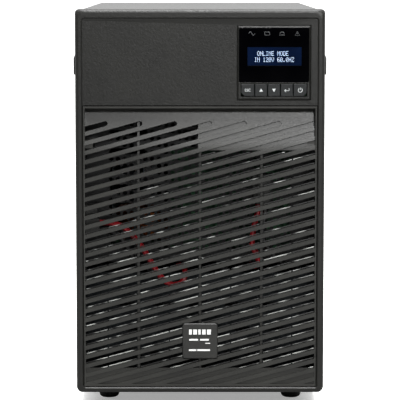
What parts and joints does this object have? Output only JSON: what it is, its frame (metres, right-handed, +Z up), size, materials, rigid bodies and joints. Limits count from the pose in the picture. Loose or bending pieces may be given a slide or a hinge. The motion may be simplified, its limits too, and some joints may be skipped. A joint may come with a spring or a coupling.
{
  "type": "uninterruptible power supply",
  "caption": "Tower uninterruptible power supply: bezel with display and keys, slatted pull-off door, steel case, batteries, power electronics, fans, rear sockets.",
  "frame": {"origin": "on the floor, under the middle of the object's bounding box", "axes": "+Z up, the front with the display faces -Y, +X to the right seen from the front"},
  "size_m": [0.228, 0.412, 0.346],
  "materials": {
    "bezel_plastic": "moulded ABS, fine texture, near black",
    "badge_plastic": "satin moulded plate",
    "window_acrylic": "glossy printed acrylic, black",
    "lcd_glass": "dark blue liquid crystal display",
    "key_rubber": "matt slate key tops",
    "circuit_board": "green solder mask",
    "case_steel": "black powder coated sheet steel",
    "zinc_steel": "zinc plated sheet steel",
    "foot_rubber": "moulded rubber",
    "battery_case": "moulded battery case, dark grey",
    "lead_red": "PVC insulation, red",
    "lead_black": "PVC insulation, black",
    "connector_grey": "moulded connector, light grey",
    "heat_sink_alloy": "extruded aluminium",
    "winding_copper": "enamelled copper winding",
    "capacitor_sleeve": "shrink sleeve, black",
    "ribbon_grey": "flat cable, light grey",
    "fan_plastic": "glass filled plastic, black",
    "guard_wire": "plated wire",
    "socket_plastic": "moulded nylon, black",
    "reset_plastic": "moulded button, grey"
  },
  "bodies": {
    "chassis": {"front_bezel": "bezel_plastic", "display_housing": "bezel_plastic", "handle_left": "bezel_plastic", "handle_right": "bezel_plastic", "display_window": "window_acrylic", "lcd_screen": "lcd_glass", "display_board": "circuit_board", "main_board": "circuit_board", "control_board": "circuit_board", "case_cover": "case_steel", "base_pan": "case_steel", "front_plate": "case_steel", "rear_panel": "case_steel", "slot_cover": "case_steel", "shelf": "zinc_steel", "battery_tray": "zinc_steel", "battery_bracket": "zinc_steel", "foot_front_left": "foot_rubber", "foot_front_right": "foot_rubber", "foot_rear_left": "foot_rubber", "foot_rear_right": "foot_rubber", "battery_1": "battery_case", "battery_2": "battery_case", "battery_3": "battery_case", "battery_4": "battery_case", "battery_5": "battery_case", "battery_6": "battery_case", "battery_lead_red_left": "lead_red", "battery_lead_red_right": "lead_red", "battery_lead_black_left": "lead_black", "battery_lead_black_right": "lead_black", "battery_plug_left": "connector_grey", "battery_plug_right": "connector_grey", "battery_socket_left": "connector_grey", "battery_socket_right": "connector_grey", "heat_sink_left": "heat_sink_alloy", "heat_sink_right": "heat_sink_alloy", "inductor_left": "winding_copper", "inductor_right": "winding_copper", "capacitor_front": "capacitor_sleeve", "capacitor_rear": "capacitor_sleeve", "ribbon_cable": "ribbon_grey", "fan_frame_left": "fan_plastic", "fan_frame_right": "fan_plastic", "fan_guard_left": "guard_wire", "fan_guard_right": "guard_wire", "power_inlet": "socket_plastic", "outlet_bank": "socket_plastic", "breaker_body": "socket_plastic", "port_block": "socket_plastic"},
    "door": {"grille_door": "bezel_plastic", "badge_plate": "badge_plastic"},
    "fan_rotor_left": {"fan_impeller_left": "fan_plastic"},
    "fan_rotor_right": {"fan_impeller_right": "fan_plastic"},
    "reset_button": {"breaker_button": "reset_plastic"},
    "key_escape_cap": {"key_escape": "key_rubber"},
    "key_up_cap": {"key_up": "key_rubber"},
    "key_down_cap": {"key_down": "key_rubber"},
    "key_enter_cap": {"key_enter": "key_rubber"},
    "key_power_cap": {"key_power": "key_rubber"}
  },
  "joints": [
    {"name": "key_escape_press", "type": "slide", "parent": "chassis", "child": "key_escape_cap", "axis": [0, 1, 0], "range_m": [0, 0.0008], "stiffness_N_per_m": 600},
    {"name": "key_up_press", "type": "slide", "parent": "chassis", "child": "key_up_cap", "axis": [0, 1, 0], "range_m": [0, 0.0008], "stiffness_N_per_m": 600},
    {"name": "key_down_press", "type": "slide", "parent": "chassis", "child": "key_down_cap", "axis": [0, 1, 0], "range_m": [0, 0.0008], "stiffness_N_per_m": 600},
    {"name": "key_enter_press", "type": "slide", "parent": "chassis", "child": "key_enter_cap", "axis": [0, 1, 0], "range_m": [0, 0.0008], "stiffness_N_per_m": 600},
    {"name": "key_power_press", "type": "slide", "parent": "chassis", "child": "key_power_cap", "axis": [0, 1, 0], "range_m": [0, 0.0008], "stiffness_N_per_m": 600},
    {"name": "door_pull", "type": "slide", "parent": "chassis", "child": "door", "axis": [0, -1, 0], "range_m": [0, 0.06]},
    {"name": "fan_spin_left", "type": "hinge", "parent": "chassis", "child": "fan_rotor_left", "pos_m": [-0.046, 0.1875, 0.29], "axis": [0, 1, 0], "continuous": true},
    {"name": "fan_spin_right", "type": "hinge", "parent": "chassis", "child": "fan_rotor_right", "pos_m": [0.046, 0.1875, 0.29], "axis": [0, 1, 0], "continuous": true},
    {"name": "breaker_reset", "type": "slide", "parent": "chassis", "child": "reset_button", "axis": [0, 1, 0], "range_m": [0, 0.003]}
  ]
}
